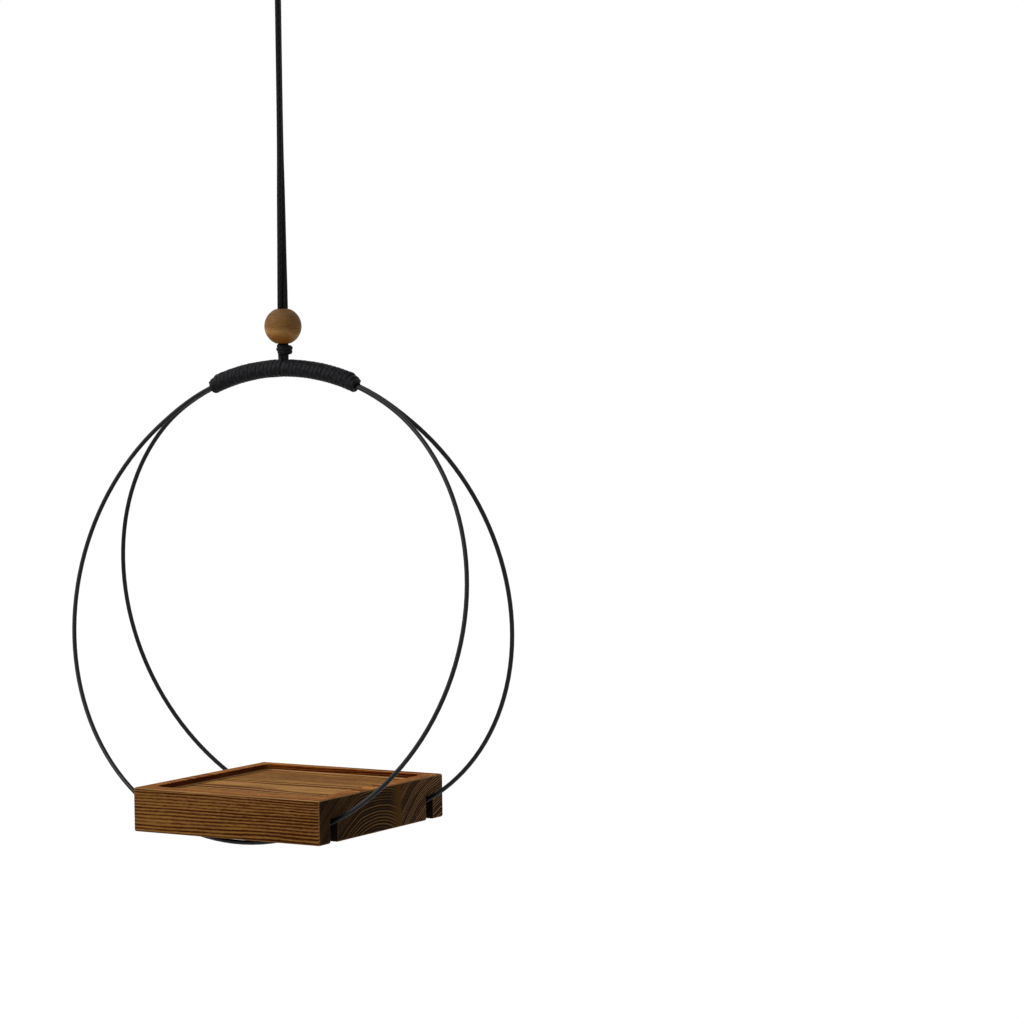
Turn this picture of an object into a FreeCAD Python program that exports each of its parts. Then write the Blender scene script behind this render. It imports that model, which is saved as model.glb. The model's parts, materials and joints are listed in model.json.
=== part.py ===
import FreeCAD, Part
import Sketcher
import math
import os

# A hanging plant shelf: two wire hoops bound together at the top with cord, sprung apart at the
# bottom by a wooden tray that sits on them, and hung from a doubled cord with a bead on it.
# Lengths are in millimetres. +Z is up, +X runs along the tray's grooves, and the origin is where
# the hook bears in the hanging loop.

Vector = FreeCAD.Vector

# Driving dimensions: name, value, what it measures
sizes = [
    ("hoop_outer_diameter", 320.0, "a hoop, outside to outside"),
    ("hoop_wire_diameter", 3.0, "round steel wire of the hoops"),
    ("hoop_gap", 0.3, "between the two wires where they are bound"),
    ("splay_start", 19.0, "along the wire, from the binding's end to the bend"),
    ("splay_bend", 28.0, "along the wire, the length of the bend"),
    ("tray_width", 150.0, "tray along X"),
    ("tray_depth", 150.0, "tray along Y"),
    ("tray_thickness", 29.6, "tray along Z"),
    ("front_board_depth", 97.0, "wider board of the tray along Y"),
    ("rim_width", 10.0, "tray's rim round the recess"),
    ("recess_depth", 4.0, "recess for the pot's saucer"),
    ("recess_corner", 6.0, "corner radius of the recess in plan"),
    ("recess_cove", 1.0, "radius where the recess wall meets its floor"),
    ("board_edge", 1.5, "eased outer edges of the tray"),
    ("groove_inset", 17.2, "tray's face to the middle of the groove"),
    ("groove_depth", 16.3, "groove up into the tray's underside"),
    ("groove_edge", 1.2, "eased edges of the groove's mouth"),
    ("groove_clearance", 0.9, "each side of the leaning wire in its groove"),
    ("seat_clearance", 0.3, "groove's ceiling above the wire that carries it"),
    ("binding_cord_diameter", 2.8, "cord wound round the wires"),
    ("binding_turns", 18.0, "turns on each side of the neck"),
    ("binding_turn_gap", 0.5, "between two turns"),
    ("binding_clearance", 0.25, "turns round the wires and the tucked cord"),
    ("binding_neck_gap", 2.6, "between the first turns on the two sides of the neck"),
    ("neck_gap", 0.8, "between the two cords that rise to the knot"),
    ("neck_length", 2.9, "rising cord seen between the turns and the knot"),
    ("tail_start", 7.0, "along the hoop, from the neck to the tucked cord"),
    ("tail_cover", 9.0, "turns past the tucked cord's end"),
    ("neck_knot_bulge", 2.0, "knot under the bead, its belly past its ends"),
    ("neck_knot_height", 7.0, "knot under the bead"),
    ("knot_edge", 0.2, "flat end of a knot past the cords that meet it"),
    ("bead_diameter", 25.0, "wooden bead"),
    ("bead_bore_clearance", 0.4, "bead's bore round the two strands"),
    ("bead_edge", 0.6, "rounded rim of the bead's bore"),
    ("bead_seat_gap", 0.3, "bead above the knot that stops it"),
    ("spin_gap", 0.1, "strands above the knot that turns below them"),
    ("cord_diameter", 3.4, "hanging cord"),
    ("strand_gap", 0.4, "between the two strands"),
    ("strand_turn", 35.0, "degrees from +X to the pair of strands at the knot"),
    ("hanging_length", 236.0, "neck knot's top to loop knot's underside"),
    ("loop_knot_bulge", 1.6, "knot under the hanging loop, its belly past its ends"),
    ("loop_knot_height", 9.0, "knot under the hanging loop"),
    ("loop_length", 38.0, "loop knot's top to where the hook bears"),
    ("hook_diameter", 8.0, "hook rod that the loop goes over"),
]

# The strands' way up: share of the hanging length, and turn of the pair in degrees
strand_route = [(0.12, 0.0), (0.25, 42.0), (0.42, 56.0), (0.58, 80.0)]
strand_top_turn = 80.0

# An arc's share of the shorter run beside it
arc_share = 0.45

# Lengths closer than this are the same, and a part in this many is nothing
near = 0.001
tiny = 1e-9

# Rounds of the sum that finds the hoops' lean, and points per diameter that measure a winding's gaps
lean_rounds = 40
points_per_diameter = 5

doc = FreeCAD.newDocument("PlantHanger")


def make_sheet(name, rows):
    sheet = doc.addObject("Spreadsheet::Sheet", name)
    for row, (alias, value, note) in enumerate(rows, start=1):
        sheet.set("A%d" % row, note)
        sheet.set("B%d" % row, repr(value))
        sheet.setAlias("B%d" % row, alias)
    return sheet


sheet = make_sheet("Sizes", sizes)
doc.recompute()
size = {alias: float(sheet.get(alias)) for alias, value, note in sizes}

# Values worked out from the sizes
wire_radius = size["hoop_wire_diameter"] / 2
hoop_radius = size["hoop_outer_diameter"] / 2 - wire_radius
wire_offset = wire_radius + size["hoop_gap"] / 2
winding_radius = size["binding_cord_diameter"] / 2
cord_radius = size["cord_diameter"] / 2
strand_offset = cord_radius + size["strand_gap"] / 2
turn_pitch = size["binding_cord_diameter"] + size["binding_turn_gap"]
turns = int(round(size["binding_turns"]))
neck_spread = winding_radius + size["neck_gap"] / 2
first_turn = winding_radius + size["binding_neck_gap"] / 2
last_turn = first_turn + turns * turn_pitch

# The tucked cord lies in the valley between the two wires, and the turns go round all three
touch = wire_radius + winding_radius + size["binding_clearance"]
tail_height = math.sqrt(touch ** 2 - wire_offset ** 2)
turn_side = wire_offset + touch
turn_top = tail_height + 2 * winding_radius + size["binding_clearance"]
turn_bottom = touch + size["binding_clearance"]

# Angles along a hoop from its top, where the wires leave the binding and where they bend apart
binding_end = (last_turn + turn_pitch) / hoop_radius
bend_start = binding_end + size["splay_start"] / hoop_radius
bend_end = bend_start + size["splay_bend"] / hoop_radius
fold_drop = hoop_radius * (1 - math.cos((bend_start + bend_end) / 2))

# The lean that takes a wire through the middle of its groove, found by repeating the sum
half_width = size["tray_width"] / 2
seat_run = math.sqrt(hoop_radius ** 2 - half_width ** 2)
seat_drop = hoop_radius + seat_run
groove_place = size["tray_depth"] / 2 - size["groove_inset"]
lean = 0.0
for step in range(lean_rounds):
    slope = half_width / seat_run * math.cos(lean)
    wire_rise = wire_radius * math.hypot(1, slope)
    wire_in_groove = size["groove_depth"] - size["seat_clearance"] - wire_rise
    leaning_run = wire_in_groove / math.cos(lean)
    lean = math.asin((groove_place - wire_offset) / (seat_drop + leaning_run / 2 - fold_drop))
groove_width = 2 * wire_radius / math.cos(lean) + leaning_run * math.sin(lean)
groove_width += 2 * size["groove_clearance"]

# Heights above the hoops' tops, from the neck up to the hook, then the hoops' tops from the origin
knot_base = turn_top + winding_radius + size["neck_length"]
knot_top = knot_base + size["neck_knot_height"]
bore_radius = strand_offset + cord_radius + size["bead_bore_clearance"]
bead_radius = size["bead_diameter"] / 2
bead_middle = knot_top + size["bead_seat_gap"] + math.sqrt(bead_radius ** 2 - bore_radius ** 2)
loop_knot_base = knot_top + size["hanging_length"]
loop_knot_top = loop_knot_base + size["loop_knot_height"]
hoop_top = -(loop_knot_top + size["loop_length"])
tray_base = hoop_top - fold_drop - (seat_drop - fold_drop) * math.cos(lean)
tray_base += wire_rise + size["seat_clearance"] - size["groove_depth"]

worked = make_sheet("Worked", [
    ("groove_width", groove_width, "groove across the leaning wire"),
    ("bore_radius", bore_radius, "bead's bore"),
    ("neck_knot_end", neck_spread + winding_radius + size["knot_edge"], "knot's flat ends"),
    ("loop_knot_end", strand_offset + cord_radius + size["knot_edge"], "knot's flat ends"),
])


def place(body, x, y, z):
    body.Placement = FreeCAD.Placement(Vector(x, y, z), FreeCAD.Rotation())


# Sketches and bodies

def new_body(name):
    body = doc.addObject("PartDesign::Body", name)
    body.Label = name
    return body


def new_sketch(body, name, role):
    sketch = body.newObject("Sketcher::SketchObject", name)
    plane = next(p for p in body.Origin.OriginFeatures if p.Role == role)
    sketch.AttachmentSupport = [(plane, "")]
    sketch.MapMode = "FlatFace"
    return sketch


def size_constraint(sketch, constraint, name, formula):
    index = sketch.addConstraint(constraint)
    sketch.renameConstraint(index, name)
    sketch.setExpression("Constraints." + name, formula)


def add_rectangle(sketch, left, low, width, height):
    # Drawn anywhere, and brought to its size and place by the constraints
    corners = [(1, 1), (9, 1), (9, 9), (1, 9)]
    for start, end in zip(corners, corners[1:] + corners[:1]):
        sketch.addGeometry(Part.LineSegment(Vector(*start, 0), Vector(*end, 0)))
    for side in range(4):
        sketch.addConstraint(Sketcher.Constraint("Coincident", side, 2, (side + 1) % 4, 1))
        direction = "Horizontal" if side % 2 == 0 else "Vertical"
        sketch.addConstraint(Sketcher.Constraint(direction, side))
    for kind, point, name, formula in (
        ("DistanceX", (-1, 1, 0, 1), "left", left),
        ("DistanceY", (-1, 1, 0, 1), "low", low),
        ("DistanceX", (0, 1, 0, 2), "width", width),
        ("DistanceY", (1, 1, 1, 2), "height", height),
    ):
        size_constraint(sketch, Sketcher.Constraint(kind, *point, 1.0), name, formula)


def edges_where(shape, test):
    names = []
    for number, edge in enumerate(shape.Edges, start=1):
        ends = [v.Point for v in edge.Vertexes]
        if len(ends) == 2 and test(ends[0], ends[1]):
            names.append("Edge%d" % number)
    return names


def round_edges(body, base, name, radius, test):
    doc.recompute()
    fillet = body.newObject("PartDesign::Fillet", name)
    fillet.Base = (base, edges_where(base.Shape, test))
    fillet.setExpression("Radius", radius)
    doc.recompute()
    return fillet


def same(a, b):
    return abs(a - b) < near


def make_board(name, depth_formula, depth, front):
    # The front board's outer face is at local Y zero, and the rear board's glued face
    body = new_body(name)
    outline = new_sketch(body, name + "_outline", "XY_Plane")
    add_rectangle(outline, "0 mm", "0 mm", "Sizes.tray_width", depth_formula)
    pad = body.newObject("PartDesign::Pad", name + "_pad")
    pad.Profile = outline
    pad.setExpression("Length", "Sizes.tray_thickness")

    glue = depth if front else 0.0

    def outer_edge(a, b):
        return not (same(a.y, glue) and same(b.y, glue))

    round_edges(body, pad, name + "_eased", "Sizes.board_edge", outer_edge)

    profile = new_sketch(body, name + "_groove_profile", "YZ_Plane")
    middle = "Sizes.groove_inset" if front else depth_formula + " - Sizes.groove_inset"
    add_rectangle(profile, middle + " - Worked.groove_width / 2", "0 mm",
                  "Worked.groove_width", "Sizes.groove_depth")
    groove = body.newObject("PartDesign::Pocket", name + "_groove")
    groove.Profile = profile
    groove.Type = "ThroughAll"
    groove.Reversed = True
    groove_middle = size["groove_inset"] if front else depth - size["groove_inset"]

    def groove_mouth(a, b):
        on_wall = same(abs(a.y - groove_middle), groove_width / 2)
        return on_wall and same(a.y, b.y) and same(a.z, 0.0) and same(b.z, 0.0)

    round_edges(body, groove, name + "_groove_mouth", "Sizes.groove_edge", groove_mouth)

    opening = new_sketch(body, name + "_recess_plan", "XY_Plane")
    opening.setExpression("AttachmentOffset.Base.z", "Sizes.tray_thickness")
    low = "Sizes.rim_width" if front else "0 mm"
    add_rectangle(opening, "Sizes.rim_width", low, "Sizes.tray_width - 2 * Sizes.rim_width",
                  depth_formula + " - Sizes.rim_width")
    recess = body.newObject("PartDesign::Pocket", name + "_recess")
    recess.Profile = opening
    recess.Type = "Length"
    recess.setExpression("Length", "Sizes.recess_depth")

    rim = size["rim_width"]
    wall = rim if front else depth - rim
    floor = size["tray_thickness"] - size["recess_depth"]

    def recess_corner(a, b):
        upright = same(a.x, b.x) and same(a.y, wall) and same(b.y, wall)
        return upright and (same(a.x, rim) or same(a.x, size["tray_width"] - rim))

    def recess_floor(a, b):
        return same(a.z, floor) and same(b.z, floor) and outer_edge(a, b)

    corners = round_edges(body, recess, name + "_corners", "Sizes.recess_corner", recess_corner)
    round_edges(body, corners, name + "_cove", "Sizes.recess_cove", recess_floor)
    return body


front_board = make_board("tray_front_board", "Sizes.front_board_depth",
                         size["front_board_depth"], True)
rear_depth = size["tray_depth"] - size["front_board_depth"]
rear_board = make_board("tray_rear_board", "(Sizes.tray_depth - Sizes.front_board_depth)",
                        rear_depth, False)
tray_front = -size["tray_depth"] / 2
place(front_board, -half_width, tray_front, tray_base)
place(rear_board, -half_width, tray_front + size["front_board_depth"], tray_base)


# Turned pieces

def add_turning(body, sketch):
    turning = body.newObject("PartDesign::Revolution", body.Name + "_turning")
    turning.Profile = sketch
    turning.ReferenceAxis = (sketch, ["V_Axis"])
    turning.Angle = 360.0
    return turning


def make_bead(name):
    body = new_body(name)
    sketch = new_sketch(body, name + "_profile", "XZ_Plane")
    half_bore = math.sqrt(bead_radius ** 2 - bore_radius ** 2)
    start = math.atan2(-half_bore, bore_radius)
    circle = Part.Circle(Vector(0, 0, 0), Vector(0, 0, 1), bead_radius)
    sketch.addGeometry(Part.ArcOfCircle(circle, start, -start))
    sketch.addGeometry(Part.LineSegment(Vector(bore_radius, half_bore, 0),
                                        Vector(bore_radius, -half_bore, 0)))
    sketch.addConstraint(Sketcher.Constraint("Coincident", 0, 2, 1, 1))
    sketch.addConstraint(Sketcher.Constraint("Coincident", 1, 2, 0, 1))
    sketch.addConstraint(Sketcher.Constraint("Coincident", 0, 3, -1, 1))
    sketch.addConstraint(Sketcher.Constraint("Vertical", 1))
    size_constraint(sketch, Sketcher.Constraint("Radius", 0, bead_radius), "ball",
                    "Sizes.bead_diameter / 2")
    size_constraint(sketch, Sketcher.Constraint("DistanceX", -1, 1, 1, 1, bore_radius), "bore",
                    "Worked.bore_radius")
    turning = add_turning(body, sketch)
    doc.recompute()
    rims = [
        "Edge%d" % number
        for number, edge in enumerate(turning.Shape.Edges, start=1)
        if len(edge.Vertexes) == 1 and same(edge.Curve.Radius, bore_radius)
    ]
    fillet = body.newObject("PartDesign::Fillet", name + "_rims")
    fillet.Base = (turning, rims)
    fillet.setExpression("Radius", "Sizes.bead_edge")
    return body


def make_knot(name):
    # A knot is a barrel with flat ends, on which the cords stand
    body = new_body(name)
    sketch = new_sketch(body, name + "_profile", "XZ_Plane")
    end = float(worked.get(name + "_end"))
    height = size[name + "_height"]
    bulge = size[name + "_bulge"]
    barrel = (height ** 2 / 4 + bulge ** 2) / (2 * bulge)
    middle = Vector(end + bulge - barrel, height / 2, 0)
    sweep = math.asin(height / 2 / barrel)
    circle = Part.Circle(middle, Vector(0, 0, 1), barrel)
    corners = [Vector(0, height, 0), Vector(0, 0, 0), Vector(end, 0, 0)]
    sketch.addGeometry(Part.ArcOfCircle(circle, -sweep, sweep))
    sketch.addGeometry(Part.LineSegment(Vector(end, height, 0), corners[0]))
    sketch.addGeometry(Part.LineSegment(corners[0], corners[1]))
    sketch.addGeometry(Part.LineSegment(corners[1], corners[2]))
    sketch.addConstraint(Sketcher.Constraint("Coincident", 0, 2, 1, 1))
    sketch.addConstraint(Sketcher.Constraint("Coincident", 1, 2, 2, 1))
    sketch.addConstraint(Sketcher.Constraint("Coincident", 2, 2, 3, 1))
    sketch.addConstraint(Sketcher.Constraint("Coincident", 3, 2, 0, 1))
    sketch.addConstraint(Sketcher.Constraint("Coincident", 2, 2, -1, 1))
    sketch.addConstraint(Sketcher.Constraint("Horizontal", 1))
    sketch.addConstraint(Sketcher.Constraint("Vertical", 2))
    sketch.addConstraint(Sketcher.Constraint("Horizontal", 3))
    sketch.addConstraint(Sketcher.Constraint("Equal", 1, 3))
    size_constraint(sketch, Sketcher.Constraint("DistanceX", 3, 1, 3, 2, end), "end",
                    "Worked.%s_end" % name)
    size_constraint(sketch, Sketcher.Constraint("DistanceY", 2, 2, 2, 1, height), "tall",
                    "Sizes.%s_height" % name)
    size_constraint(sketch, Sketcher.Constraint("Radius", 0, barrel), "barrel",
                    "(Sizes.{0}_height ^ 2 / 4 + Sizes.{0}_bulge ^ 2) / (2 * Sizes.{0}_bulge)".format(name))
    add_turning(body, sketch)
    return body


# Tubes of wire and cord along straight runs and arcs

def arc_edge(start, corner, end):
    # The arc that leaves start towards corner and comes into end from it
    middle = (start + end) / 2
    reach = corner - middle
    half = (end - start).Length / 2
    if reach.Length < tiny * half:
        return Part.LineSegment(start, end).toShape()
    rise = half * math.tan(math.atan2(reach.Length, half) / 2)
    return Part.Arc(start, middle + reach / reach.Length * rise, end).toShape()


def biarc(start, start_way, end, end_way):
    # Two arcs with one tangent where they join, between two points with given directions
    across = end - start
    ways = start_way + end_way
    a = 2 * start_way.dot(end_way) - 2
    b = across.dot(ways)
    c = across.dot(across)
    d = c / (2 * b) if abs(a) < tiny else (b - math.sqrt(b * b - a * c)) / a
    first = start + start_way * d
    second = end - end_way * d
    joint = (first + second) / 2
    return [arc_edge(start, first, joint), arc_edge(joint, second, end)]


def rounded_route(points):
    # Straight runs with the largest arcs that they have room for, and the arcs' radii
    edges = []
    radii = []
    at = points[0]
    for before, corner, after in zip(points, points[1:], points[2:]):
        run_in = corner - before
        run_out = after - corner
        reach = arc_share * min(run_in.Length, run_out.Length)
        half_turn = run_in.getAngle(run_out) / 2
        begin = corner - run_in / run_in.Length * reach
        end = corner + run_out / run_out.Length * reach
        edges.append(Part.LineSegment(at, begin).toShape())
        edges.append(arc_edge(begin, corner, end))
        radii.append(reach / math.tan(half_turn))
        at = end
    edges.append(Part.LineSegment(at, points[-1]).toShape())
    return edges, radii


def add_tube(name, edges, start, way, radius):
    path = Part.Wire(edges)
    ring = Part.Circle(start, way, radius).toShape()
    shape = path.makePipeShell([Part.Wire([ring])], True, False)
    solid = shape if shape.ShapeType == "Solid" else Part.Solid(shape.Shells[0])
    piece = doc.addObject("Part::Feature", name)
    piece.Label = name
    piece.Shape = solid
    ideal = math.pi * radius ** 2 * path.Length
    print("%s: length %.1f, volume %.4f of section times length" % (
        name, path.Length, solid.Volume / ideal))
    return piece, path


def least_gap(path, diameter):
    # Between stretches of one tube that lie more than two diameters apart along it
    points = [tuple(p) for p in path.discretize(Distance=diameter / points_per_diameter)]
    apart = 2 * points_per_diameter + 1
    least = float("inf")
    for i, p in enumerate(points):
        for q in points[i + apart:]:
            least = min(least, (p[0] - q[0]) ** 2 + (p[1] - q[1]) ** 2 + (p[2] - q[2]) ** 2)
    return math.sqrt(least) - diameter


def hoop_point(side, angle):
    drop = hoop_radius * (1 - math.cos(angle))
    past = max(drop - fold_drop, 0.0)
    return Vector(hoop_radius * math.sin(angle), side * (wire_offset + past * math.sin(lean)),
                  hoop_top - min(drop, fold_drop) - past * math.cos(lean))


def hoop_way(angle, side, leaning):
    return Vector(math.cos(angle), side * math.sin(angle) * math.sin(leaning),
                  -math.sin(angle) * math.cos(leaning))


def make_hoop(name, side):
    # Upright under the binding, then bent over into the plane that leads to the groove
    def bend(start, start_lean, end, end_lean):
        return biarc(hoop_point(side, start), hoop_way(start, side, start_lean),
                     hoop_point(side, end), hoop_way(end, side, end_lean))

    bound = Part.Arc(hoop_point(side, -bend_start), hoop_point(side, 0),
                     hoop_point(side, bend_start)).toShape()
    free = Part.Arc(hoop_point(side, bend_end), hoop_point(side, math.pi),
                    hoop_point(side, -bend_end)).toShape()
    edges = [bound]
    edges += bend(bend_start, 0.0, bend_end, lean)
    edges.append(free)
    edges += bend(-bend_end, lean, -bend_start, 0.0)
    piece, path = add_tube(name, edges, hoop_point(side, -bend_start),
                           hoop_way(-bend_start, side, 0.0), wire_radius)
    return piece


def bound_frame(along):
    # Where the hoops' middle line is at a distance from the neck, with its out and along ways
    angle = along / hoop_radius
    out = Vector(math.sin(angle), 0, math.cos(angle))
    middle = out * hoop_radius + Vector(0, 0, hoop_top - hoop_radius)
    return middle, out, Vector(math.cos(angle), 0, -math.sin(angle))


def half_turn_about_cord(vector, side):
    return Vector(side * vector.x, side * vector.y, vector.z)


def make_binding(name, side):
    # Down from the knot, then turn after turn outwards, ending in a short cut end
    across = Vector(0, 1, 0)
    mean_radius = (2 * turn_side + turn_top + turn_bottom) / 4
    advance = turn_pitch / (2 * math.pi * mean_radius)
    places = []
    ways = []
    for quarter in range(4 * turns + 1):
        middle, out, forward = bound_frame(first_turn + quarter * turn_pitch / 4)
        offset, way = (
            (across * turn_side, out * -1),
            (out * -turn_bottom, across * -1),
            (across * -turn_side, out),
            (out * turn_top, across),
        )[quarter % 4]
        places.append(half_turn_about_cord(middle + offset, side))
        ways.append(half_turn_about_cord((way + forward * advance).normalize(), side))
    down = Vector(0, 0, -1)
    top = half_turn_about_cord(Vector(neck_spread, 0, hoop_top + knot_base), side)
    leave = top + down * size["binding_cord_diameter"]
    edges = [Part.LineSegment(top, leave).toShape()]
    edges += biarc(leave, down, places[0], ways[0])
    for quarter in range(4 * turns):
        edges += biarc(places[quarter], ways[quarter], places[quarter + 1], ways[quarter + 1])
    cut_end = places[-1] + ways[-1] * size["binding_cord_diameter"]
    edges.append(Part.LineSegment(places[-1], cut_end).toShape())
    piece, path = add_tube(name, edges, top, down, winding_radius)
    tightest = min(e.Curve.Radius for e in edges if hasattr(e.Curve, "Radius"))
    print("%s: least gap to itself %.2f, tightest arc %.2f" % (
        name, least_gap(path, size["binding_cord_diameter"]), tightest))
    return piece


def make_tail(name, side):
    # The cord's end, laid between the two wires and covered by the turns
    start = size["tail_start"]
    end = last_turn - size["tail_cover"]
    points = []
    for along in (start, (start + end) / 2, end):
        middle, out, forward = bound_frame(along)
        points.append(half_turn_about_cord(middle + out * tail_height, side))
    way = half_turn_about_cord(bound_frame(start)[2], side)
    piece, path = add_tube(name, [Part.Arc(*points).toShape()], points[0], way, winding_radius)
    return piece


def cord_point(height, turn, side):
    angle = math.radians(size["strand_turn"] + turn)
    return Vector(side * strand_offset * math.cos(angle), side * strand_offset * math.sin(angle),
                  hoop_top + knot_top + height)


def make_strand(name, side):
    points = [cord_point(size["spin_gap"], 0.0, side)]
    points += [cord_point(share * size["hanging_length"], turn, side) for share, turn in strand_route]
    points.append(cord_point(size["hanging_length"], strand_top_turn, side))
    edges, radii = rounded_route(points)
    piece, path = add_tube(name, edges, points[0], points[1] - points[0], cord_radius)
    print("%s: bend radii %s" % (name, ", ".join("%.0f" % r for r in radii)))
    return piece


def make_loop(name):
    # Up from the knot, round the hook and down again
    turn = math.radians(size["strand_turn"] + strand_top_turn)
    hook_radius = size["hook_diameter"] / 2
    bend = hook_radius + cord_radius
    foot = hoop_top + loop_knot_top
    corner_height = foot + size["cord_diameter"]
    rise = corner_height + hook_radius
    slant = math.atan2(rise, strand_offset) + math.acos(bend / math.hypot(rise, strand_offset))

    def loop_point(out, height):
        return Vector(out * math.cos(turn), out * math.sin(turn), height)

    touch_out = bend * math.cos(slant)
    touch_height = bend * math.sin(slant) - hook_radius
    up, radii = rounded_route([loop_point(strand_offset, foot),
                               loop_point(strand_offset, corner_height),
                               loop_point(touch_out, touch_height)])
    down, radii = rounded_route([loop_point(-touch_out, touch_height),
                                 loop_point(-strand_offset, corner_height),
                                 loop_point(-strand_offset, foot)])
    over = Part.Arc(loop_point(touch_out, touch_height), loop_point(0, cord_radius),
                    loop_point(-touch_out, touch_height)).toShape()
    piece, path = add_tube(name, up + [over] + down, loop_point(strand_offset, foot),
                           Vector(0, 0, 1), cord_radius)
    print("%s: bend radii %.0f and %.1f round the hook" % (name, radii[0], bend))
    return piece


bead = make_bead("bead")
place(bead, 0, 0, hoop_top + bead_middle)
neck_knot = make_knot("neck_knot")
place(neck_knot, 0, 0, hoop_top + knot_base)
loop_knot = make_knot("loop_knot")
place(loop_knot, 0, 0, hoop_top + loop_knot_base)

pieces = [
    make_hoop("front_hoop", -1),
    make_hoop("rear_hoop", 1),
    front_board,
    rear_board,
    make_binding("right_binding", 1),
    make_binding("left_binding", -1),
    make_tail("right_tail", 1),
    make_tail("left_tail", -1),
    neck_knot,
    bead,
    make_strand("right_strand", 1),
    make_strand("left_strand", -1),
    loop_knot,
    make_loop("hanging_loop"),
]

doc.recompute()
for item in doc.Objects:
    if "Invalid" in item.State or "Error" in item.State:
        raise RuntimeError("%s failed: %s" % (item.Name, item.State))
for piece in pieces:
    if piece.Shape.isNull() or not piece.Shape.isValid() or len(piece.Shape.Solids) != 1:
        raise RuntimeError("%s is not one valid solid" % piece.Label)

os.makedirs("parts", exist_ok=True)
for piece in pieces:
    piece.Shape.exportStep("parts/%s.step" % piece.Label)
    print("%s: volume %.0f" % (piece.Label, piece.Shape.Volume))
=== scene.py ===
import json
import math
import random
import bmesh
import bpy
from mathutils import Matrix, Vector
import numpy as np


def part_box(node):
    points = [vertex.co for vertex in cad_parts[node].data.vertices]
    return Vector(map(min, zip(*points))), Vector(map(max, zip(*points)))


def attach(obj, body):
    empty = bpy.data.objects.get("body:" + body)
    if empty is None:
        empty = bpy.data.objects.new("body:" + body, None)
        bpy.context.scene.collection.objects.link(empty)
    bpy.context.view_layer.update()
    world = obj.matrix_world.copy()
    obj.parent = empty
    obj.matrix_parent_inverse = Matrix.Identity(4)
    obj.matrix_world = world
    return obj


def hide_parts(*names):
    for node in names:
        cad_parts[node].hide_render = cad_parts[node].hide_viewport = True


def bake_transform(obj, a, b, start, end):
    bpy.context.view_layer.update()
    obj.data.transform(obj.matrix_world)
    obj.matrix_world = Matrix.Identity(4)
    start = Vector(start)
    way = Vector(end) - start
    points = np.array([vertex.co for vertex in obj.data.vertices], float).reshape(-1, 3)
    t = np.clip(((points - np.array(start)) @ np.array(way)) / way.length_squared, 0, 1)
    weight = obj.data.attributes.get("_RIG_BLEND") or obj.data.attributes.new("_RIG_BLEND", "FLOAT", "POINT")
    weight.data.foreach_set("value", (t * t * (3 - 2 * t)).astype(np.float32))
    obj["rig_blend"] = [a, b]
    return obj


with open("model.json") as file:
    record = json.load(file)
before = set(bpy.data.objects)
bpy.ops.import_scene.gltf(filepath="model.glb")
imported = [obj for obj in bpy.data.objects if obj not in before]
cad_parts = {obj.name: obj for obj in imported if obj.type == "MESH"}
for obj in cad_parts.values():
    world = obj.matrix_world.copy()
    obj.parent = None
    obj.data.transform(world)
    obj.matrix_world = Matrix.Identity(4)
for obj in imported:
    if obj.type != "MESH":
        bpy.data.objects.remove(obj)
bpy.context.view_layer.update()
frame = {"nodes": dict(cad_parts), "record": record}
scene = bpy.context.scene
scene.view_settings.view_transform = "Standard"
print("frame loaded,", len(frame["nodes"]), "nodes")

# where the photograph was taken from
cameraPlace = {
    "lens": 107.698,
    "target": (0.17730, 0.0, -0.39351),
    "distance": 1.97191,
    "azimuth": 30.798,
    "elevation": 2.560,
    "roll": -0.696,
}


def placeCamera(place):
    azimuth = math.radians(place["azimuth"])
    elevation = math.radians(place["elevation"])
    back = Vector((math.sin(azimuth), -math.cos(azimuth), math.tan(elevation))).normalized()
    camera = bpy.data.objects.new("photoCamera", bpy.data.cameras.new("photoCamera"))
    camera.data.lens = place["lens"]
    camera.location = Vector(place["target"]) + back * place["distance"]
    upright = back.to_track_quat("Z", "Y").to_matrix()
    rolled = upright @ Matrix.Rotation(math.radians(place["roll"]), 3, "Z")
    camera.rotation_euler = rolled.to_euler()
    scene.collection.objects.link(camera)
    scene.camera = camera


placeCamera(cameraPlace)
print("camera placed")


# points along the smooth line that a route's points give
def routeLine(points, steps):
    curve = bpy.data.curves.new("route", "CURVE")
    curve.dimensions = "3D"
    spline = curve.splines.new("NURBS")
    spline.points.add(len(points) - 1)
    for place, point in zip(spline.points, points):
        place.co = (*point, 1.0)
    spline.order_u = 3
    spline.use_endpoint_u = True
    spline.resolution_u = steps
    holder = bpy.data.objects.new("route", curve)
    scene.collection.objects.link(holder)
    bpy.context.view_layer.update()
    mesh = bpy.data.meshes.new_from_object(holder)
    line = [vertex.co.copy() for vertex in mesh.vertices]
    bpy.data.objects.remove(holder)
    bpy.data.curves.remove(curve)
    bpy.data.meshes.remove(mesh)
    return line


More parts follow.
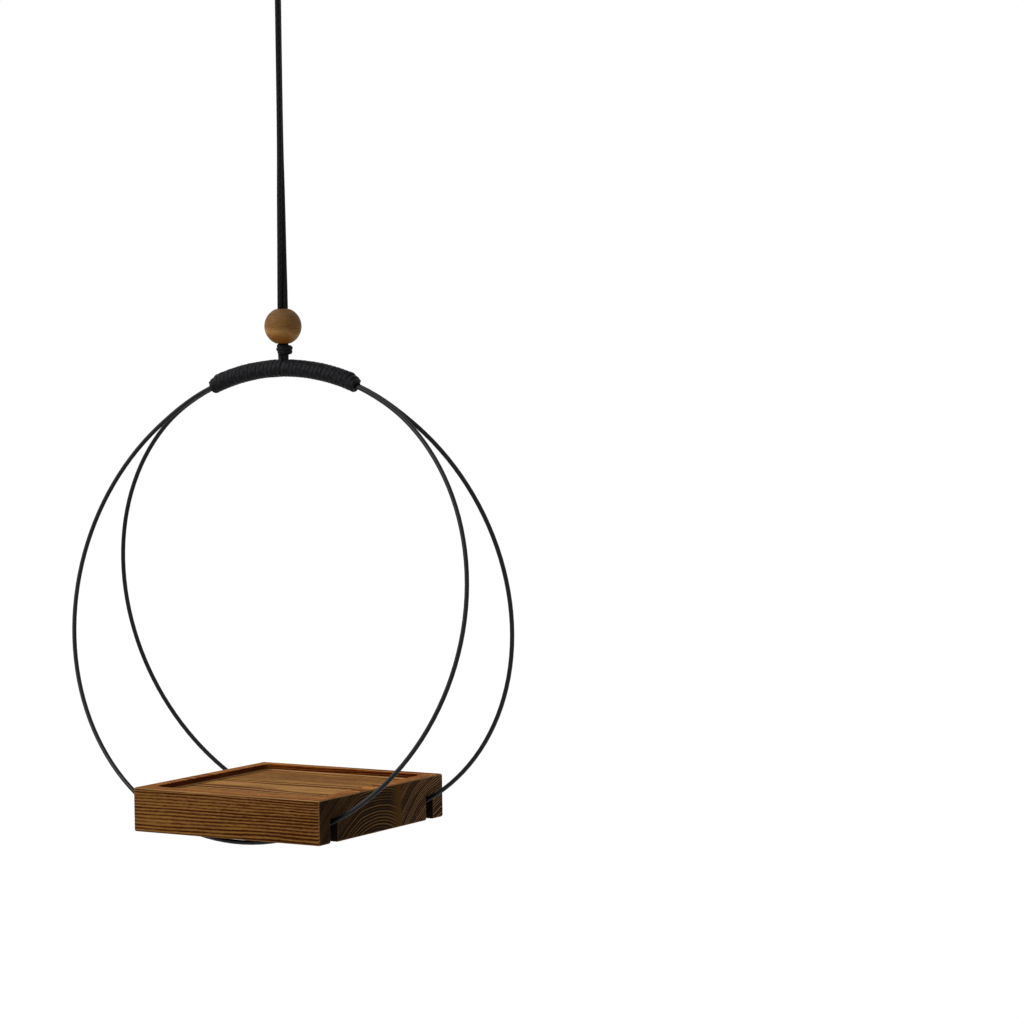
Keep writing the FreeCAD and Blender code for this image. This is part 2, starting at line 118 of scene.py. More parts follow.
# a tube drawn along a line, with a UV map of metres along it and its share round it;
# acrossAt says which way its width lies, and boxy under 1 squares its round section
def sweepCord(name, line, section, sides, acrossAt=None, boxy=1.0):
    shape = bmesh.new()
    sideOf = shape.verts.layers.int.new("side")
    alongOf = shape.verts.layers.float.new("along")
    travelled = [0.0]
    for here, there in zip(line, line[1:]):
        travelled.append(travelled[-1] + (there - here).length)
    across = Vector((1.0, 0.0, 0.0)) if acrossAt else (line[1] - line[0]).orthogonal()
    last = len(line) - 1
    edges = []
    before = None
    for step, point in enumerate(line):
        ahead = (line[min(step + 1, last)] - line[max(step - 1, 0)]).normalized()
        if acrossAt:
            across = acrossAt(point)
        across = (across - ahead * across.dot(ahead)).normalized()
        width, thickness = section(travelled[step], travelled[-1])
        turn = Matrix((across, ahead.cross(across), ahead)).transposed().to_4x4()
        place = Matrix.Translation(point) @ turn @ Matrix.Diagonal((width, thickness, 1.0, 1.0))
        if before is None:
            ring = bmesh.ops.create_circle(shape, cap_ends=True, radius=0.5, segments=sides)["verts"]
            for number, vertex in enumerate(ring):
                vertex[sideOf] = number
                for axis in (0, 1):
                    reach = vertex.co[axis]
                    vertex.co[axis] = math.copysign(0.5 * abs(2.0 * reach) ** boxy, reach)
            bmesh.ops.transform(shape, matrix=place, verts=ring)
            edges = list(shape.edges)
        else:
            grown = bmesh.ops.extrude_edge_only(shape, edges=edges)["geom"]
            ring = [part for part in grown if isinstance(part, bmesh.types.BMVert)]
            fresh = set(ring)
            grownEdges = [part for part in grown if isinstance(part, bmesh.types.BMEdge)]
            edges = [edge for edge in grownEdges if fresh.issuperset(edge.verts)]
            bmesh.ops.transform(shape, matrix=place @ before.inverted(), verts=ring)
        for vertex in ring:
            vertex[alongOf] = travelled[step]
        before = place
    bmesh.ops.contextual_create(shape, geom=edges)
    bmesh.ops.recalc_face_normals(shape, faces=shape.faces)
    cordMap = shape.loops.layers.uv.new("cordMap")
    for face in shape.faces:
        face.smooth = len(face.verts) == 4
        seam = {0, sides - 1}.issubset(vertex[sideOf] for vertex in face.verts)
        for corner in face.loops:
            side = corner.vert[sideOf]
            if seam and side == 0:
                side = sides
            corner[cordMap].uv = (corner.vert[alongOf], side / sides)
    shape.verts.layers.int.remove(shape.verts.layers.int["side"])
    shape.verts.layers.float.remove(shape.verts.layers.float["along"])
    mesh = bpy.data.meshes.new(name)
    shape.to_mesh(mesh)
    shape.free()
    piece = bpy.data.objects.new(name, mesh)
    scene.collection.objects.link(piece)
    return piece


def addNode(tree, kind, inputs, **settings):
    node = tree.nodes.new(kind)
    for setting, value in settings.items():
        setattr(node, setting, value)
    for socket, value in inputs.items():
        if isinstance(value, bpy.types.NodeSocket):
            tree.links.new(value, node.inputs[socket])
        else:
            node.inputs[socket].default_value = value
    return node


def calc(tree, operation, first, second=0.0, third=0.0):
    inputs = {0: first, 1: second, 2: third}
    return addNode(tree, "ShaderNodeMath", inputs, operation=operation).outputs[0]


def spread(tree, value, low, high, toLow=0.0, toHigh=1.0):
    inputs = {"Value": value, "From Min": low, "From Max": high, "To Min": toLow, "To Max": toHigh}
    return addNode(tree, "ShaderNodeMapRange", inputs, interpolation_type="SMOOTHSTEP").outputs[0]


# sockets 6 and 7 and output 2 are the Mix node's colour ones
def mixed(tree, factor, first, second, blend="MIX"):
    inputs = {0: factor, 6: first, 7: second}
    return addNode(tree, "ShaderNodeMix", inputs, data_type="RGBA", blend_type=blend).outputs[2]


# noise on stretched coordinates, about 0.5 in the middle
def grainNoise(tree, coords, stretch, detail=2.0, shift=(0.0, 0.0, 0.0)):
    placing = {"Vector": coords, "Location": shift, "Scale": stretch}
    stretched = addNode(tree, "ShaderNodeMapping", placing).outputs[0]
    return addNode(tree, "ShaderNodeTexNoise", {"Vector": stretched, "Scale": 1.0, "Detail": detail})


def ramp(tree, value, stops):
    node = addNode(tree, "ShaderNodeValToRGB", {"Fac": value})
    node.color_ramp.elements[0].position = stops[0][0]
    node.color_ramp.elements[0].color = (*stops[0][1], 1.0)
    node.color_ramp.elements[1].position = stops[-1][0]
    node.color_ramp.elements[1].color = (*stops[-1][1], 1.0)
    for position, colour in stops[1:-1]:
        node.color_ramp.elements.new(position).color = (*colour, 1.0)
    return node.outputs[0]


def greyRamp(tree, value, stops):
    return ramp(tree, value, [(position, (level, level, level)) for position, level in stops])


def vectorCalc(tree, operation, first, second=(0.0, 0.0, 0.0)):
    return addNode(tree, "ShaderNodeVectorMath", {0: first, 1: second}, operation=operation).outputs


def newMaterial(name, finish):
    material = bpy.data.materials.new(name)
    material.use_nodes = True
    tree = material.node_tree
    shader = tree.nodes["Principled BSDF"]
    for socket, value in finish.items():
        shader.inputs[socket].default_value = value
    return material, tree, shader


def finishShader(tree, shader, colour, roughness, height, relief):
    bump = addNode(tree, "ShaderNodeBump", {"Height": height, "Distance": relief, "Strength": 1.0})
    tree.links.new(colour, shader.inputs["Base Color"])
    tree.links.new(roughness, shader.inputs["Roughness"])
    tree.links.new(bump.outputs[0], shader.inputs["Normal"])


# black braided cord, slightly waxed
cordLook = {
    "dark": (0.0022, 0.0022, 0.0028, 1.0),
    "light": (0.0105, 0.0103, 0.0122, 1.0),
    "yarns": 8.0,
    "lay": 0.0052,
    "fibreGrain": (2600.0, 2600.0, 2600.0),
    "wornGrain": (90.0, 90.0, 90.0),
    "relief": 0.00012,
    "finish": {"Specular IOR Level": 0.06, "Sheen Weight": 0.01, "Sheen Roughness": 0.4},
}


def blackCord(look):
    material, tree, shader = newMaterial("blackCord", look["finish"])
    cordMap = addNode(tree, "ShaderNodeUVMap", {}, uv_map="cordMap").outputs[0]
    split = addNode(tree, "ShaderNodeSeparateXYZ", {0: cordMap})
    alongTurns = calc(tree, "MULTIPLY", split.outputs[0], 2.0 * math.pi / look["lay"])
    roundTurns = calc(tree, "MULTIPLY", split.outputs[1], 2.0 * math.pi * look["yarns"] / 2.0)
    rightLay = calc(tree, "SINE", calc(tree, "ADD", alongTurns, roundTurns))
    leftLay = calc(tree, "SINE", calc(tree, "SUBTRACT", alongTurns, roundTurns))
    braid = calc(tree, "MAXIMUM", rightLay, leftLay)
    coords = addNode(tree, "ShaderNodeTexCoord", {}).outputs["Object"]
    fibres = grainNoise(tree, coords, look["fibreGrain"], 3.0).outputs[0]
    worn = grainNoise(tree, coords, look["wornGrain"], 2.0).outputs[0]
    height = calc(tree, "MULTIPLY_ADD", fibres, 0.5, braid)
    # painted shade: braid valleys between the yarns darker and crests lighter, on top of random worn and
    # fibre tone
    toneAndBraidShade = calc(tree, "MULTIPLY_ADD", braid, 0.34, calc(tree, "MULTIPLY_ADD", worn, 0.6, fibres))
    colour = mixed(tree, spread(tree, toneAndBraidShade, 0.45, 1.45), look["dark"], look["light"])
    roughness = spread(tree, worn, 0.3, 0.7, 0.48, 0.62)
    finishShader(tree, shader, colour, roughness, height, look["relief"])
    return material


cordMaterial = blackCord(cordLook)


def roundSection(diameter):
    return lambda travelled, length: (diameter, diameter)


# tight knots, each a short coil of the cord round the strands that go through it
knots = {
    "neck_knot_cord": {
        "node": "neck_knot",
        "body": "hanger",
        "middle": (0.0007, 0.0004, -0.28630),
        "firstTurn": 150.0,
        "turns": 2.5,
        "coilRadius": 0.0041,
        "barrel": 0.10,
        "rise": 0.0042,
        "tilt": 5.0,
        "cord": 0.0034,
    },
    "loop_knot_cord": {
        "node": "loop_knot",
        "body": "cord",
        "middle": (0.0, 0.0, -0.0425),
        "firstTurn": 60.0,
        "turns": 3.5,
        "coilRadius": 0.0038,
        "barrel": 0.12,
        "rise": 0.0058,
        "tilt": -6.0,
        "cord": 0.0032,
    },
}
knotCoil = {
    "pointsPerTurn": 10,
    "tuckTurns": 0.3,
    "tuckedRadius": 0.45,
    "steps": 4,
    "sides": 14,
}


def makeKnot(name, knot, coil):
    place = Matrix.Translation(knot["middle"]) @ Matrix.Rotation(math.radians(knot["tilt"]), 4, "Y")
    count = int(knot["turns"] * coil["pointsPerTurn"])
    tucked = coil["tuckedRadius"]
    points = []
    for step in range(count + 1):
        share = step / count
        angle = math.radians(knot["firstTurn"] + 360.0 * knot["turns"] * share)
        ends = min(share, 1.0 - share) * knot["turns"]
        radius = knot["coilRadius"] * (1.0 - knot["barrel"] * (1.0 - math.sin(math.pi * share)))
        radius = radius * (tucked + (1.0 - tucked) * min(ends / coil["tuckTurns"], 1.0))
        height = -0.5 * knot["rise"] * math.cos(math.pi * share)
        points.append(place @ Vector((radius * math.cos(angle), radius * math.sin(angle), height)))
    line = routeLine(points, coil["steps"])
    piece = sweepCord(name, line, roundSection(knot["cord"]), coil["sides"])
    piece.data.materials.append(cordMaterial)
    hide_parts(knot["node"])
    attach(piece, knot["body"])
    return piece


tied = {name: makeKnot(name, knot, knotCoil) for name, knot in knots.items()}
print("knots tied")

# the hanging cord, one length: up from the neck knot, round the hook and down again
hangingCord = {
    "diameter": 0.0036,
    "apart": 0.0018,
    "firstTurn": 35.0,
    "strand": [
        (-0.2858, 0.0),
        (-0.25468, 0.0),
        (-0.2240, 42.0),
        (-0.18388, 56.0),
        (-0.14612, 80.0),
        (-0.0470, 80.0),
    ],
    "loop": [(0.0019, -0.0350), (0.0048, -0.0160), (0.0068, -0.0045), (0.0052, 0.0017)],
    "steps": 24,
    "sides": 14,
    "twistFrom": -0.060,
    "twistTo": -0.275,
}


# a strand's points are (height, turn of the pair), the loop's are (out from the middle, height)
def hangingRoute(cord):
    rising = []
    for height, turn in cord["strand"]:
        angle = math.radians(cord["firstTurn"] + turn)
        rising.append(Vector((cord["apart"] * math.cos(angle), cord["apart"] * math.sin(angle), height)))
    loopAngle = math.radians(cord["firstTurn"] + cord["strand"][-1][1])
    for out, height in cord["loop"]:
        rising.append(Vector((out * math.cos(loopAngle), out * math.sin(loopAngle), height)))
    falling = [Vector((-point.x, -point.y, point.z)) for point in reversed(rising)]
    return rising + falling


def makeHangingCord(cord):
    line = routeLine(hangingRoute(cord), cord["steps"])
    piece = sweepCord("hanging_cord", line, roundSection(cord["diameter"]), cord["sides"])
    piece.data.materials.append(cordMaterial)
    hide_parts("left_strand", "right_strand", "hanging_loop")
    twistStart = (0.0, 0.0, cord["twistFrom"])
    twistEnd = (0.0, 0.0, cord["twistTo"])
    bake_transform(piece, "cord", "hanger", start=twistStart, end=twistEnd)


makeHangingCord(hangingCord)

# the cord wound round both wires on each side of the neck
binding = {
    "hoopRadius": 0.1585,
    "hoopMiddle": -0.45853,
    "turns": 18.2,
    "firstTurn": 0.00025,
    "pitch": 0.0033,
    "beside": 0.0048,
    "below": 0.0036,
    "above": 0.0060,
    "endAbove": 0.0036,
    "taper": (0.0535, 0.0590),
    "tuck": (0.35, 0.0020, 0.07),
    "riser": [(0.0019, 0.0, -0.2868), (0.0019, 0.0, -0.2905), (0.0018, 0.0, -0.2928)],
    "pointsPerTurn": 12,
    "steps": 2,
    "sides": 16,
    "boxy": 0.60,
    "width": 0.0040,
    "thickness": 0.0027,
    "cord": 0.0028,
    "riserCord": 0.0036,
    "flattenFrom": 0.004,
    "flattenOver": 0.010,
    "tipLength": 0.0016,
    "tipLeast": 0.15,
    "uneven": 0.00010,
    "seed": 11,
    "tail": (0.0070, 0.0530, 0.002683),
    "tailRuns": 8,
    "tailSteps": 3,
    "tailSides": 10,
}


# a point by its way along the hoops from the neck, out from them and to their side
def onHoop(wrap, along, out, sideways):
    angle = along / wrap["hoopRadius"]
    radius = wrap["hoopRadius"] + out
    return Vector((radius * math.sin(angle), sideways, wrap["hoopMiddle"] + radius * math.cos(angle)))


def windingRoute(wrap, draw):
    points = [Vector(point) for point in wrap["riser"]]
    perTurn = wrap["pointsPerTurn"]
    count = int(wrap["turns"]) + 2
    shifts = [draw.uniform(-1.0, 1.0) * wrap["uneven"] for turn in range(count)]
    swells = [draw.uniform(-1.0, 1.0) * wrap["uneven"] for turn in range(count)]
    for step in range(1, int(wrap["turns"] * perTurn) + 1):
        turn = step / perTurn
        share = turn % 1.0
        angle = 2.0 * math.pi * share
        low = int(turn)
        shift = shifts[low] * (1.0 - share) + shifts[low + 1] * share
        swell = swells[low] * (1.0 - share) + swells[low + 1] * share
        lastTurns, back, closer = wrap["tuck"]
        tuck = max(1.0 - (wrap["turns"] - turn) / lastTurns, 0.0)
        along = wrap["firstTurn"] + wrap["pitch"] * turn + shift - back * tuck
        first, last = wrap["taper"]
        tapered = min(max((along - first) / (last - first), 0.0), 1.0)
        above = wrap["above"] + (wrap["endAbove"] - wrap["above"]) * tapered
        up = math.cos(angle)
        out = up * ((above if up > 0.0 else wrap["below"]) + swell)
        sideways = math.sin(angle) * (wrap["beside"] + swell)
        hug = 1.0 - closer * tuck
        points.append(onHoop(wrap, along, out * hug, sideways * hug))
    return points


def makeBinding(wrap, side, turned, draw):
    half = Matrix.Rotation(math.pi if turned else 0.0, 4, "Z")

    def alongHoop(point):
        local = half @ point
        angle = math.atan2(local.x, local.z - wrap["hoopMiddle"])
        return half @ Vector((math.cos(angle), 0.0, -math.sin(angle)))

    def section(travelled, length):
        flattened = min(max((travelled - wrap["flattenFrom"]) / wrap["flattenOver"], 0.0), 1.0)
        width = wrap["riserCord"] + (wrap["width"] - wrap["riserCord"]) * flattened
        thickness = wrap["riserCord"] + (wrap["thickness"] - wrap["riserCord"]) * flattened
        tip = min((length - travelled) / wrap["tipLength"], 1.0)
        rounded = max(math.sqrt(max(1.0 - (1.0 - tip) ** 2, 0.0)), wrap["tipLeast"])
        return width * rounded, thickness * rounded

    line = routeLine([half @ point for point in windingRoute(wrap, draw)], wrap["steps"])
    piece = sweepCord(side + "_binding_turns", line, section, wrap["sides"], alongHoop, wrap["boxy"])
    piece.data.materials.append(cordMaterial)
    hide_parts(side + "_binding")
    start, stop, out = wrap["tail"]
    runs = wrap["tailRuns"]
    places = [start + (stop - start) * step / runs for step in range(runs + 1)]
    tailLine = routeLine([half @ onHoop(wrap, along, out, 0.0) for along in places], wrap["tailSteps"])
    tail = sweepCord(side + "_tail_cord", tailLine, roundSection(wrap["cord"]), wrap["tailSides"])
    tail.data.materials.append(cordMaterial)
    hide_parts(side + "_tail")
    for wound in (piece, tail):
        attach(wound, "hanger")


draw = random.Random(binding["seed"])
makeBinding(binding, "right", False, draw)
makeBinding(binding, "left", True, draw)
print("bindings wound")

# black painted wire of the hoops
wireLook = {
    "dark": (0.0020, 0.0022, 0.0026, 1.0),
    "light": (0.0050, 0.0053, 0.0062, 1.0),
    "peelGrain": (900.0, 900.0, 900.0),
    "rubbedGrain": (45.0, 45.0, 45.0),
    "relief": 0.00002,
    "finish": {"Specular IOR Level": 0.16},
}


def paintedWire(look):
    material, tree, shader = newMaterial("paintedWire", look["finish"])
    coords = addNode(tree, "ShaderNodeTexCoord", {}).outputs["Object"]
    peel = grainNoise(tree, coords, look["peelGrain"], 2.0).outputs[0]
    rubbed = grainNoise(tree, coords, look["rubbedGrain"], 3.0).outputs[0]
    colour = mixed(tree, spread(tree, rubbed, 0.35, 0.7), look["dark"], look["light"])
    roughness = spread(tree, calc(tree, "MULTIPLY_ADD", peel, 0.3, rubbed), 0.4, 0.9, 0.30, 0.44)
    finishShader(tree, shader, colour, roughness, peel, look["relief"])
    return material


wireMaterial = paintedWire(wireLook)
for hoop in ("front_hoop", "rear_hoop"):
    frame["nodes"][hoop].material_slots[0].material = wireMaterial
print("hoops painted")

# oiled, brushed tray boards: growth rings about a line along X below the tray, one for each board
millimetres = 1000.0
potSeat = next(mount for mount in frame["record"]["mounts"] if mount["name"] == "pot_seat")
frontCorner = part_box("tray_front_board")[0]
trayLook = {
    "olive": (0.189, 0.0865, 0.0192, 1.0),
    "russet": (0.193, 0.0825, 0.0228, 1.0),
    "dark": (0.029, 0.0054, 0.0002, 1.0),
    "endDark": (0.0070, 0.0026, 0.0004, 1.0),
    "endCalm": (0.062, 0.028, 0.0045, 1.0),
    # eased edges: partly wear, partly painted highlight that is stronger on upward edges
    "edge": (0.360, 0.198, 0.080, 1.0),
    "edgeWear": (0.22, 0.72),
    # painted highlight: pale line along the foot of the recess walls
    "cove": (0.330, 0.185, 0.080, 1.0),
    # painted shade: near black inside the grooves
    "groove": (0.0075, 0.0050, 0.0034, 1.0),
    # painted shade: multiplier that darkens the inner walls of the recess
    "wall": (0.74, 0.40, 0.18, 1.0),
    # painted light: multiplier that lightens the upward faces of the rim
    "top": (2.30, 2.05, 1.75, 1.0),
    # painted light: multiplier that lightens the upward floor of the recess
    "floor": (2.05, 2.25, 2.50, 1.0),
    "floorHeight": potSeat["pos_m"][2],
    "underside": frontCorner[2],
    "halfDepth": -frontCorner[1],
    "coveHeight": 0.0010,
    "floorMargin": 0.0006,
    "grooveFromFace": 0.0020,
    "grooveAboveUnderside": 0.0030,
    "grooveBelowFloor": 0.0010,
    "ringGrowth": (0.100, 0.0034),
    "lateWood": [
        (0.0, 0.50),
        (0.12, 0.05),
        (0.26, 0.0),
        (0.42, 0.35),
        (0.62, 0.9),
        (0.84, 1.0),
        (1.0, 0.50),
    ],
    "endRidges": [(0.0, 0.0), (0.50, 0.05), (0.74, 1.0), (0.86, 0.9), (1.0, 0.0)],
    "waver": 0.0021,
    "waverGrain": (7.0, 34.0, 34.0),
    "fibreGrain": (45.0, 1200.0, 1200.0),
    "fleckGrain": (330.0, 1300.0, 1300.0),
    "tintGrain": (28.0, 190.0, 190.0),
    "poreGrain": (110.0, 1900.0, 1900.0),
    "broadGrain": (9.0, 30.0, 30.0),
    "relief": 0.00020,
    "finish": {"Specular IOR Level": 0.025},
}
boardGrain = {
    "tray_front_board": {
        "pith": (0.0, -0.008, -0.651),
        "phase": 0.45,
        "shift": (0.0, 0.0, 0.0),
        "calm": (0.007, 0.020),
        "faint": (-0.030, -0.066),
        "endLight": (0.145, 0.070, 0.022, 1.0),
    },
    "tray_rear_board": {
        "pith": (0.0, 0.090, -0.660),
        "phase": 0.0,
        "shift": (3.0, 7.0, 5.0),
        "calm": (0.200, 0.300),
        "faint": (-0.200, -0.300),
        "endLight": (0.300, 0.158, 0.068, 1.0),
    },
}


def boardWood(name, look, board):
    material, tree, shader = newMaterial(name, look["finish"])
    texture = addNode(tree, "ShaderNodeTexCoord", {})
    coords = texture.outputs["Object"]
    normal = texture.outputs["Normal"]
    shift = board["shift"]
    # how far each point is from the pith, with a slow waver along the board
    waver = grainNoise(tree, coords, look["waverGrain"], 2.0, shift).outputs[1]
    swing = 2.0 * look["waver"]
    centred = vectorCalc(tree, "SUBTRACT", waver, (0.5, 0.5, 0.5))[0]
    moved = vectorCalc(tree, "MULTIPLY", centred, (0.0, swing, swing))[0]
    wavy = vectorCalc(tree, "ADD", coords, moved)[0]
    fromPith = vectorCalc(tree, "SUBTRACT", wavy, board["pith"])[0]
    across = vectorCalc(tree, "MULTIPLY", fromPith, (0.0, millimetres, millimetres))[0]
    radius = vectorCalc(tree, "LENGTH", across)["Value"]
    slow, fast = look["ringGrowth"]
    growth = calc(tree, "MULTIPLY_ADD", radius, fast, slow)
    rings = calc(tree, "MULTIPLY_ADD", radius, growth, board["phase"])
    share = calc(tree, "FRACT", rings)
    wholeRings = calc(tree, "FLOOR", rings)
    year = addNode(tree, "ShaderNodeTexWhiteNoise", {"W": wholeRings}, noise_dimensions="1D").outputs[0]
    fibres = grainNoise(tree, coords, look["fibreGrain"], 3.0, shift).outputs[0]
    flecks = grainNoise(tree, coords, look["fleckGrain"], 1.0, shift).outputs[0]
    tint = grainNoise(tree, coords, look["tintGrain"], 1.0, shift).outputs[0]
    pores = grainNoise(tree, coords, look["poreGrain"], 1.0, shift).outputs[0]
    broad = grainNoise(tree, coords, look["broadGrain"], 2.0, shift).outputs[0]
    fibreTone = calc(tree, "SUBTRACT", fibres, 0.5)
    broadTone = calc(tree, "SUBTRACT", broad, 0.5)
    # long grain: dark late wood lines, streaks and pores
    line = greyRamp(tree, share, look["lateWood"])
    line = calc(tree, "MULTIPLY", line, spread(tree, year, 0.0, 1.0, 0.6, 1.0))
    dark = calc(tree, "MULTIPLY_ADD", fibreTone, 1.0, line)
    dark = calc(tree, "MULTIPLY_ADD", broadTone, 0.8, dark)
    dark = calc(tree, "MULTIPLY_ADD", calc(tree, "SUBTRACT", flecks, 0.5), 0.7, dark)
    dark = calc(tree, "ADD", dark, spread(tree, pores, 0.62, 0.74, 0.0, 0.35))
    light = mixed(tree, spread(tree, tint, 0.34, 0.66), look["olive"], look["russet"])
    longGrain = mixed(tree, spread(tree, dark, -0.12, 0.88), light, look["dark"])
    # end grain: thin pale ridges on a dark ground, calm near the glue line of the wider board
    place = addNode(tree, "ShaderNodeSeparateXYZ", {0: coords}).outputs
    calm = spread(tree, place[1], *board["calm"])
    ridge = greyRamp(tree, share, look["endRidges"])
    unevenYear = calc(tree, "MULTIPLY_ADD", fibres, 0.9, year)
    ridge = calc(tree, "MULTIPLY", ridge, spread(tree, unevenYear, 0.3, 1.3, 0.25, 1.0))
    ridge = calc(tree, "MULTIPLY_ADD", broadTone, 0.5, ridge)
    ridge = calc(tree, "MULTIPLY", ridge, calc(tree, "MULTIPLY_ADD", calm, -0.6, 1.0))
    ridge = calc(tree, "MULTIPLY", ridge, spread(tree, place[1], *board["faint"], 1.0, 0.62))
    ground = mixed(tree, calm, look["endDark"], look["endCalm"])
    endGrain = mixed(tree, spread(tree, ridge, 0.0, 1.0), ground, board["endLight"])
    # the object's own normal tells the faces, the eased edges and the recess apart
    faces = addNode(tree, "ShaderNodeSeparateXYZ", {0: vectorCalc(tree, "ABSOLUTE", normal)[0]}).outputs
    widest = calc(tree, "MAXIMUM", faces[0], calc(tree, "MAXIMUM", faces[1], faces[2]))
    eased = spread(tree, widest, 0.985, 0.80)
    fromMiddle = vectorCalc(tree, "MULTIPLY", coords, (1.0, 1.0, 0.0))[0]
    inward = vectorCalc(tree, "DOT_PRODUCT", fromMiddle, normal)["Value"]
    inRecess = calc(tree, "GREATER_THAN", place[2], look["floorHeight"] - look["floorMargin"])
    # painted shade: mask of the recess's inner walls, which are multiplied darker and redder
    wall = calc(tree, "MULTIPLY", calc(tree, "LESS_THAN", inward, -0.02), inRecess)
    level = spread(tree, faces[2], 0.7, 0.98)
    floor = calc(tree, "LESS_THAN", place[2], look["floorHeight"] + look["floorMargin"])
    floor = calc(tree, "MULTIPLY", level, floor)
    floor = calc(tree, "MULTIPLY", floor, inRecess)
    ends = calc(tree, "MULTIPLY", spread(tree, faces[0], 0.6, 0.95), calc(tree, "SUBTRACT", 1.0, wall))
    # painted light: the upward rim faces are multiplied lighter, as if lit from above
    top = calc(tree, "MULTIPLY", level, inRecess)
    colour = mixed(tree, top, longGrain, mixed(tree, 1.0, longGrain, look["top"], "MULTIPLY"))
    # painted light: the recess floor is multiplied lighter, as if lit from above
    colour = mixed(tree, floor, colour, mixed(tree, 1.0, longGrain, look["floor"], "MULTIPLY"))
    colour = mixed(tree, wall, colour, mixed(tree, 1.0, colour, look["wall"], "MULTIPLY"))
    # painted highlight: a pale line at the foot of the recess walls, where the cove catches the light
    litFoot = calc(tree, "LESS_THAN", place[2], look["floorHeight"] + look["coveHeight"])
    litFoot = calc(tree, "MULTIPLY", litFoot, inRecess)
    litFoot = calc(tree, "MULTIPLY", litFoot, spread(tree, faces[2], 0.15, 0.45))
    litFoot = calc(tree, "MULTIPLY", litFoot, spread(tree, faces[2], 0.985, 0.93))
    colour = mixed(tree, calc(tree, "MULTIPLY", litFoot, 0.8), colour, look["cove"])
    colour = mixed(tree, ends, colour, endGrain)
    facing = addNode(tree, "ShaderNodeSeparateXYZ", {0: normal}).outputs
    # eased edges lightened: partly wear, partly painted highlight, stronger where the edge faces up
    worn = calc(tree, "MULTIPLY", eased, spread(tree, facing[2], 0.1, 0.5, *look["edgeWear"]))
    worn = calc(tree, "MULTIPLY", worn, spread(tree, broad, 0.35, 0.65, 0.6, 1.0))
    colour = mixed(tree, worn, colour, look["edge"])
    # the grooves get painted shade: nearly black inside
    sideways = calc(tree, "ABSOLUTE", place[1])
    inside = calc(tree, "LESS_THAN", sideways, look["halfDepth"] - look["grooveFromFace"])
    grooveWall = calc(tree, "MULTIPLY", spread(tree, faces[1], 0.5, 0.8), inside)
    above = calc(tree, "GREATER_THAN", place[2], look["underside"] + look["grooveAboveUnderside"])
    ceiling = calc(tree, "MULTIPLY", spread(tree, faces[2], 0.5, 0.8), above)
    below = calc(tree, "LESS_THAN", place[2], look["floorHeight"] - look["grooveBelowFloor"])
    shadeInGroove = calc(tree, "MULTIPLY", calc(tree, "MAXIMUM", grooveWall, ceiling), below)
    colour = mixed(tree, shadeInGroove, colour, look["groove"])
    roughness = spread(tree, calc(tree, "MULTIPLY_ADD", fibres, 0.4, line), 0.0, 1.3, 0.66, 0.84)
    relief = calc(tree, "MULTIPLY_ADD", fibres, 0.35, calc(tree, "MULTIPLY", line, -0.6))
    finishShader(tree, shader, colour, roughness, relief, look["relief"])
    return material


for boardName, board in boardGrain.items():
    wood = boardWood(boardName + "Wood", trayLook, board)
    frame["nodes"][boardName].material_slots[0].material = wood
print("tray boards grained")

# turned walnut bead, waxed, its grain lying across the bore in leaning layers; the lowest layers are painted
# lighter against the shade beneath the bead
beadLook = {
    "middle": (0.0, 0.0, -0.27086),
    "lean": (0.09, 0.06, 1.0),
    "radius": 0.0125,
    "layers": [
        # painted light: the lowest stops are lightened against the shade beneath the bead
        (0.0, (0.170, 0.058, 0.0040)),
        (0.16, (0.195, 0.076, 0.0085)),
        (0.30, (0.300, 0.160, 0.0520)),
        (0.43, (0.170, 0.084, 0.0240)),
        (0.62, (0.155, 0.075, 0.0220)),
        (0.80, (0.150, 0.080, 0.0300)),
        (1.0, (0.150, 0.080, 0.0320)),
    ],
    "shade": (0.62, 0.55, 0.45, 1.0),
    "waver": 0.0030,
    "waverGrain": (70.0, 70.0, 110.0),
    "fibreGrain": (160.0, 160.0, 1300.0),
    "poreGrain": (350.0, 350.0, 2200.0),
    "relief": 0.00002,
    "finish": {"Specular IOR Level": 0.05, "Coat Weight": 0.02, "Coat Roughness": 0.35},
}


def beadWood(look):
    material, tree, shader = newMaterial("beadWalnut", look["finish"])
    coords = addNode(tree, "ShaderNodeTexCoord", {}).outputs["Object"]
    fromMiddle = vectorCalc(tree, "SUBTRACT", coords, look["middle"])[0]
    height = vectorCalc(tree, "DOT_PRODUCT", fromMiddle, look["lean"])["Value"]
    waver = calc(tree, "SUBTRACT", grainNoise(tree, coords, look["waverGrain"], 3.0).outputs[0], 0.5)
    wavy = calc(tree, "MULTIPLY_ADD", waver, 2.0 * look["waver"], height)
    share = calc(tree, "MULTIPLY_ADD", wavy, 0.5 / look["radius"], 0.5)
    layers = ramp(tree, share, look["layers"])
    fibres = grainNoise(tree, coords, look["fibreGrain"], 3.0).outputs[0]
    pores = grainNoise(tree, coords, look["poreGrain"], 1.0).outputs[0]
    shaded = calc(tree, "MULTIPLY", spread(tree, fibres, 0.40, 0.68), 0.55)
    shaded = calc(tree, "ADD", shaded, spread(tree, pores, 0.60, 0.72, 0.0, 0.5))
    colour = mixed(tree, shaded, layers, mixed(tree, 1.0, layers, look["shade"], "MULTIPLY"))
    roughness = spread(tree, fibres, 0.3, 0.7, 0.42, 0.55)
    finishShader(tree, shader, colour, roughness, fibres, look["relief"])
    return material


frame["nodes"]["bead"].material_slots[0].material = beadWood(beadLook)
print("bead waxed")

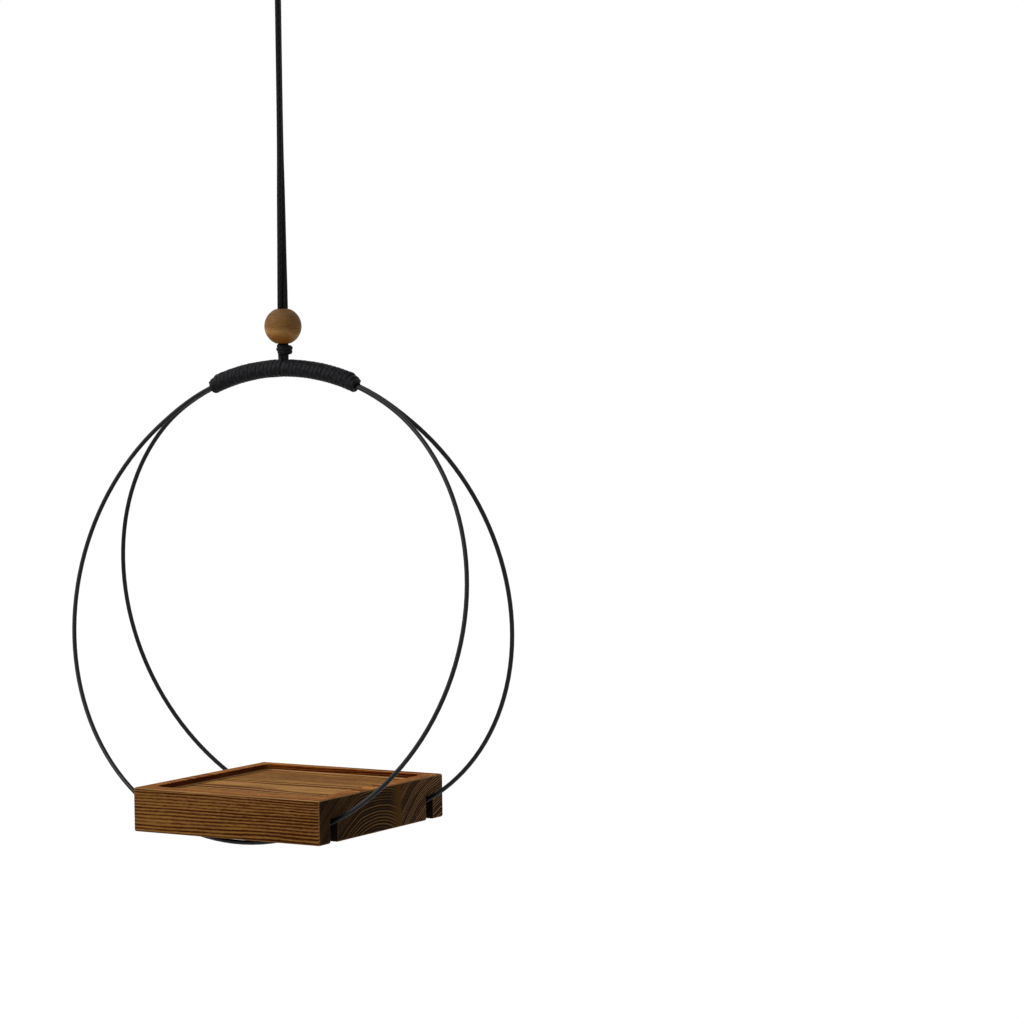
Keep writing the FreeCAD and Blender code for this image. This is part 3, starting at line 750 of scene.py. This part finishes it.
# pale floor far below, white backdrop and one broad soft lamp
studio = {
    "floorHeight": -2.6,
    "floorSize": 120.0,
    "floorFinish": {
        "Base Color": (0.80, 0.80, 0.80, 1.0),
        "Roughness": 0.9,
        "Specular IOR Level": 0.0,
        "Emission Color": (1.0, 1.0, 1.0, 1.0),
    },
    "floorGlow": 0.30,
    "backdrop": (1.0, 1.0, 1.0, 1.0),
    "ambient": 0.42,
    "keyFrom": (-0.55, -0.75, 0.62),
    "keyWidth": 32.0,
    "keyStrength": 2.7,
}


def seenDirectly(tree):
    path = addNode(tree, "ShaderNodeLightPath", {})
    seen = calc(tree, "MAXIMUM", path.outputs["Is Camera Ray"], path.outputs["Is Glossy Ray"])
    return calc(tree, "MAXIMUM", seen, path.outputs["Is Transmission Ray"])


def makeStudio(room):
    shape = bmesh.new()
    bmesh.ops.create_grid(shape, x_segments=1, y_segments=1, size=room["floorSize"] / 2.0,
                          matrix=Matrix.Translation((0.0, 0.0, room["floorHeight"])))
    mesh = bpy.data.meshes.new("floor")
    shape.to_mesh(mesh)
    shape.free()
    floor = bpy.data.objects.new("floor", mesh)
    scene.collection.objects.link(floor)
    material, tree, shader = newMaterial("paleFloor", room["floorFinish"])
    glow = calc(tree, "MULTIPLY", seenDirectly(tree), room["floorGlow"])
    tree.links.new(glow, shader.inputs["Emission Strength"])
    mesh.materials.append(material)
    world = bpy.data.worlds.new("studio")
    world.use_nodes = True
    scene.world = world
    worldTree = world.node_tree
    backdrop = worldTree.nodes["Background"]
    backdrop.inputs["Color"].default_value = room["backdrop"]
    ambient = room["ambient"]
    level = calc(worldTree, "MULTIPLY_ADD", seenDirectly(worldTree), 1.0 - ambient, ambient)
    worldTree.links.new(level, backdrop.inputs["Strength"])
    lamp = bpy.data.lights.new("keyLamp", "SUN")
    lamp.angle = math.radians(room["keyWidth"])
    lamp.energy = room["keyStrength"]
    holder = bpy.data.objects.new("keyLamp", lamp)
    holder.rotation_euler = Vector(room["keyFrom"]).to_track_quat("Z", "Y").to_euler()
    scene.collection.objects.link(holder)


makeStudio(studio)
print("studio lit")
